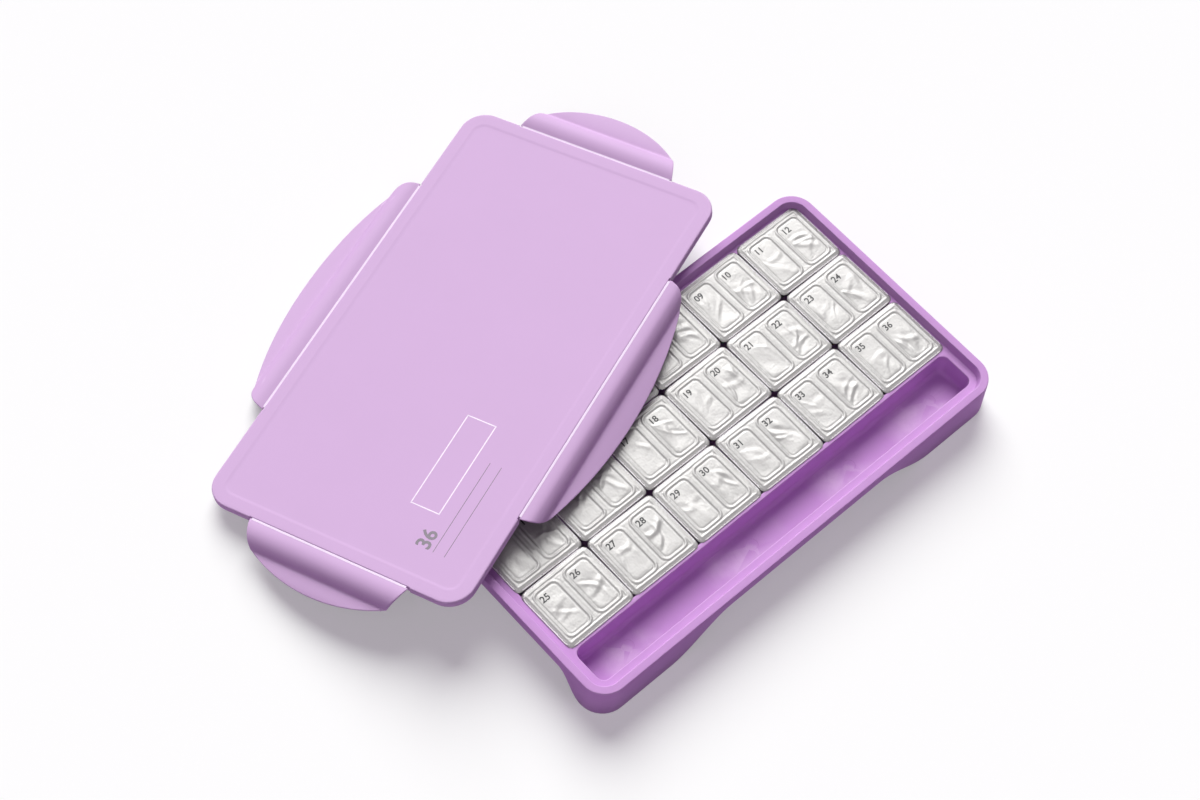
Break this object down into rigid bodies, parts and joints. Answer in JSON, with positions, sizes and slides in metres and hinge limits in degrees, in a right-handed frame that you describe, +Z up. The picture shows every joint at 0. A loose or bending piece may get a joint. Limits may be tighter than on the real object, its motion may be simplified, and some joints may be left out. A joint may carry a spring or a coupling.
{
  "type": "gouache paint set box",
  "caption": "Low plastic paint box: a tray of foil-sealed gouache packs with a brush channel, and a lid with hinged latch flaps leaning on it.",
  "frame": {"origin": "centre of the tray's footprint, on the surface it stands on", "axes": "+X along the tray's long side, +Y from the brush channel to the back, +Z up"},
  "size_m": [0.4058, 0.3558, 0.0433],
  "materials": {
    "tray_plastic": "lilac moulded polypropylene, satin",
    "lid_plastic": "lilac moulded polypropylene, fine satin grain",
    "seal": "milky silicone",
    "cup_plastic": "thin white thermoformed plastic",
    "foil": "sealed aluminium foil, wrinkled",
    "gouache": "thick wet paint, one colour to a cell"
  },
  "bodies": {
    "tray": {"tray": "tray_plastic", "cup_r2c1": "cup_plastic", "foil_r2c1": "foil", "cup_r2c2": "cup_plastic", "foil_r2c2": "foil", "cup_r2c3": "cup_plastic", "foil_r2c3": "foil", "cup_r3c1": "cup_plastic", "foil_r3c1": "foil", "cup_r3c2": "cup_plastic", "foil_r3c2": "foil", "cup_r3c3": "cup_plastic", "foil_r3c3": "foil", "cup_r3c4": "cup_plastic", "foil_r3c4": "foil", "gouache_covered": "gouache"},
    "lid": {"lid_panel": "lid_plastic", "lid_seal": "seal"},
    "flap_front": {"flap_front": "lid_plastic"},
    "flap_back": {"flap_back": "lid_plastic"},
    "flap_left": {"flap_left": "lid_plastic"},
    "flap_right": {"flap_right": "lid_plastic"},
    "pack_r1c1": {"cup_r1c1": "cup_plastic", "foil_r1c1": "foil", "gouache_r1c1": "gouache"},
    "pack_r1c2": {"cup_r1c2": "cup_plastic", "foil_r1c2": "foil", "gouache_r1c2": "gouache"},
    "pack_r1c3": {"cup_r1c3": "cup_plastic", "foil_r1c3": "foil", "gouache_r1c3": "gouache"},
    "pack_r1c4": {"cup_r1c4": "cup_plastic", "foil_r1c4": "foil", "gouache_r1c4": "gouache"},
    "pack_r1c5": {"cup_r1c5": "cup_plastic", "foil_r1c5": "foil", "gouache_r1c5": "gouache"},
    "pack_r1c6": {"cup_r1c6": "cup_plastic", "foil_r1c6": "foil", "gouache_r1c6": "gouache"},
    "pack_r2c4": {"cup_r2c4": "cup_plastic", "foil_r2c4": "foil", "gouache_r2c4": "gouache"},
    "pack_r2c5": {"cup_r2c5": "cup_plastic", "foil_r2c5": "foil", "gouache_r2c5": "gouache"},
    "pack_r2c6": {"cup_r2c6": "cup_plastic", "foil_r2c6": "foil", "gouache_r2c6": "gouache"},
    "pack_r3c5": {"cup_r3c5": "cup_plastic", "foil_r3c5": "foil", "gouache_r3c5": "gouache"},
    "pack_r3c6": {"cup_r3c6": "cup_plastic", "foil_r3c6": "foil", "gouache_r3c6": "gouache"}
  },
  "joints": [
    {"name": "lid_lift", "type": "slide", "parent": "tray", "child": "lid", "axis": [0, 0, 1], "range_m": [0, 0.08]},
    {"name": "flap_front_hinge", "type": "hinge", "parent": "lid", "child": "flap_front", "pos_m": [-0.03749, 0.05301, 0.04215], "axis": [-0.9428, -0.3335, 0], "range_deg": [-12, 94]},
    {"name": "flap_back_hinge", "type": "hinge", "parent": "lid", "child": "flap_back", "pos_m": [-0.09564, 0.21739, 0.01169], "axis": [0.9428, 0.3335, 0], "range_deg": [0, 74]},
    {"name": "flap_left_hinge", "type": "hinge", "parent": "lid", "child": "flap_left", "pos_m": [-0.21599, 0.08235, 0.02692], "axis": [-0.3285, 0.9287, -0.1721], "range_deg": [-42, 78]},
    {"name": "flap_right_hinge", "type": "hinge", "parent": "lid", "child": "flap_right", "pos_m": [0.08286, 0.18806, 0.02692], "axis": [0.3285, -0.9287, 0.1721], "range_deg": [-56, 63]},
    {"name": "pack_r1c1_lift", "type": "slide", "parent": "tray", "child": "pack_r1c1", "axis": [0, 0, 1], "range_m": [0, 0.03]},
    {"name": "pack_r1c2_lift", "type": "slide", "parent": "tray", "child": "pack_r1c2", "axis": [0, 0, 1], "range_m": [0, 0.03]},
    {"name": "pack_r1c3_lift", "type": "slide", "parent": "tray", "child": "pack_r1c3", "axis": [0, 0, 1], "range_m": [0, 0.03]},
    {"name": "pack_r1c4_lift", "type": "slide", "parent": "tray", "child": "pack_r1c4", "axis": [0, 0, 1], "range_m": [0, 0.03]},
    {"name": "pack_r1c5_lift", "type": "slide", "parent": "tray", "child": "pack_r1c5", "axis": [0, 0, 1], "range_m": [0, 0.03]},
    {"name": "pack_r1c6_lift", "type": "slide", "parent": "tray", "child": "pack_r1c6", "axis": [0, 0, 1], "range_m": [0, 0.03]},
    {"name": "pack_r2c4_lift", "type": "slide", "parent": "tray", "child": "pack_r2c4", "axis": [0, 0, 1], "range_m": [0, 0.03]},
    {"name": "pack_r2c5_lift", "type": "slide", "parent": "tray", "child": "pack_r2c5", "axis": [0, 0, 1], "range_m": [0, 0.03]},
    {"name": "pack_r2c6_lift", "type": "slide", "parent": "tray", "child": "pack_r2c6", "axis": [0, 0, 1], "range_m": [0, 0.03]},
    {"name": "pack_r3c5_lift", "type": "slide", "parent": "tray", "child": "pack_r3c5", "axis": [0, 0, 1], "range_m": [0, 0.03]},
    {"name": "pack_r3c6_lift", "type": "slide", "parent": "tray", "child": "pack_r3c6", "axis": [0, 0, 1], "range_m": [0, 0.03]}
  ]
}
